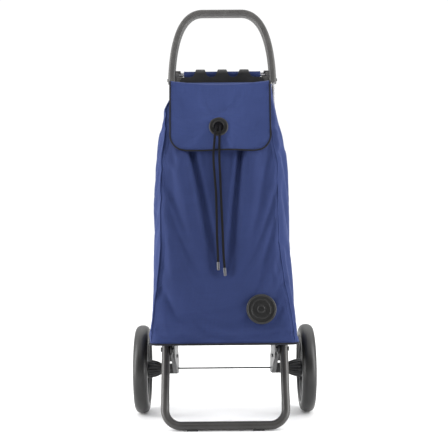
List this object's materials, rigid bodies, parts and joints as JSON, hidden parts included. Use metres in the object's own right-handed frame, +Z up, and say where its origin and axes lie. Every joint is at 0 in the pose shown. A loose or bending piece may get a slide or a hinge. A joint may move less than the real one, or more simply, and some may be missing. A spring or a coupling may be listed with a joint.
{
  "type": "folding shopping trolley",
  "caption": "Upright wheeled shopping trolley: fabric bag with flap lid on a leaning rail frame, large wheels, and a U-shaped front leg that folds back",
  "frame": {"origin": "centre of the footprint on the ground, below the middle of the bounding box", "axes": "+Z up, the front of the bag faces -Y, wheel axle along X"},
  "size_m": [0.4496, 0.4088, 1.041],
  "materials": {
    "handle": "fine satin grey",
    "aluminium": "satin anodised",
    "steel": "satin",
    "leg_paint": "satin dark grey powder coat",
    "black_plastic": "fine texture",
    "grey_plastic": "fine texture",
    "rim_plastic": "fine texture",
    "tyre": "matte foam rubber",
    "fabric": "navy woven polyester",
    "cord": "braided black"
  },
  "bodies": {
    "frame": {"handle": "handle", "rail_left": "aluminium", "rail_right": "aluminium", "crossbar": "aluminium", "crossbar_sleeve": "fabric", "hook_strip": "black_plastic", "bag_platform": "steel", "bag": "fabric", "badge": "black_plastic", "drawcord_left": "cord", "drawcord_right": "cord", "cord_tip_left": "steel", "cord_tip_right": "steel", "bracket_left": "black_plastic", "bracket_right": "black_plastic", "handle_rivet_left": "steel", "handle_rivet_right": "steel", "bracket_rivet_left": "steel", "bracket_rivet_right": "steel", "axle_left": "steel", "axle_right": "steel", "lever_pin_left": "steel", "lever_pin_right": "steel", "lever_spring_left": "steel", "lever_spring_right": "steel"},
    "front_leg": {"front_leg": "leg_paint", "leg_plug_left": "black_plastic", "leg_plug_right": "black_plastic", "leg_pivot_pin_left": "steel", "leg_pivot_pin_right": "steel", "foot_pad_left": "black_plastic", "foot_pad_right": "black_plastic", "latch_cam_left": "steel", "latch_cam_right": "steel"},
    "release_lever": {"foot_lever_left": "grey_plastic", "foot_lever_right": "grey_plastic", "release_rod": "steel"},
    "flap": {"flap": "fabric", "grommet": "black_plastic"},
    "wheel_left": {"tyre_left": "tyre", "rim_left": "rim_plastic", "hub_dome_left": "black_plastic", "wheel_bush_left": "grey_plastic", "hub_cap_left": "black_plastic", "button_spring_left": "steel"},
    "button_left": {"release_button_left": "grey_plastic"},
    "wheel_right": {"tyre_right": "tyre", "rim_right": "rim_plastic", "hub_dome_right": "black_plastic", "wheel_bush_right": "grey_plastic", "hub_cap_right": "black_plastic", "button_spring_right": "steel"},
    "button_right": {"release_button_right": "grey_plastic"}
  },
  "joints": [
    {"name": "wheel_spin_left", "type": "hinge", "parent": "frame", "child": "wheel_left", "pos_m": [0, 0.08555, 0.11], "axis": [1, 0, 0], "continuous": true},
    {"name": "button_press_left", "type": "slide", "parent": "wheel_left", "child": "button_left", "axis": [1, 0, 0], "range_m": [0, 0.003], "stiffness_N_per_m": 600, "springref_m": -0.003, "deforming": ["button_spring_left"]},
    {"name": "wheel_spin_right", "type": "hinge", "parent": "frame", "child": "wheel_right", "pos_m": [0, 0.08555, 0.11], "axis": [1, 0, 0], "continuous": true},
    {"name": "button_press_right", "type": "slide", "parent": "wheel_right", "child": "button_right", "axis": [-1, 0, 0], "range_m": [0, 0.003], "stiffness_N_per_m": 600, "springref_m": -0.003, "deforming": ["button_spring_right"]},
    {"name": "front_leg_fold", "type": "hinge", "parent": "frame", "child": "front_leg", "pos_m": [0, -0.06645, 0.178], "axis": [1, 0, 0], "range_deg": [0, 78]},
    {"name": "foot_release", "type": "hinge", "parent": "frame", "child": "release_lever", "pos_m": [0, 0.02355, 0.15], "axis": [-1, 0, 0], "range_deg": [0, 5], "stiffness_Nm_per_rad": 8, "springref_deg": -2.86, "deforming": ["lever_spring_left", "lever_spring_right"]},
    {"name": "flap_open", "type": "hinge", "parent": "frame", "child": "flap", "pos_m": [0, 0.15155, 0.841], "axis": [-1, 0, 0], "range_deg": [0, 90], "deforming": ["drawcord_left", "drawcord_right"]}
  ]
}
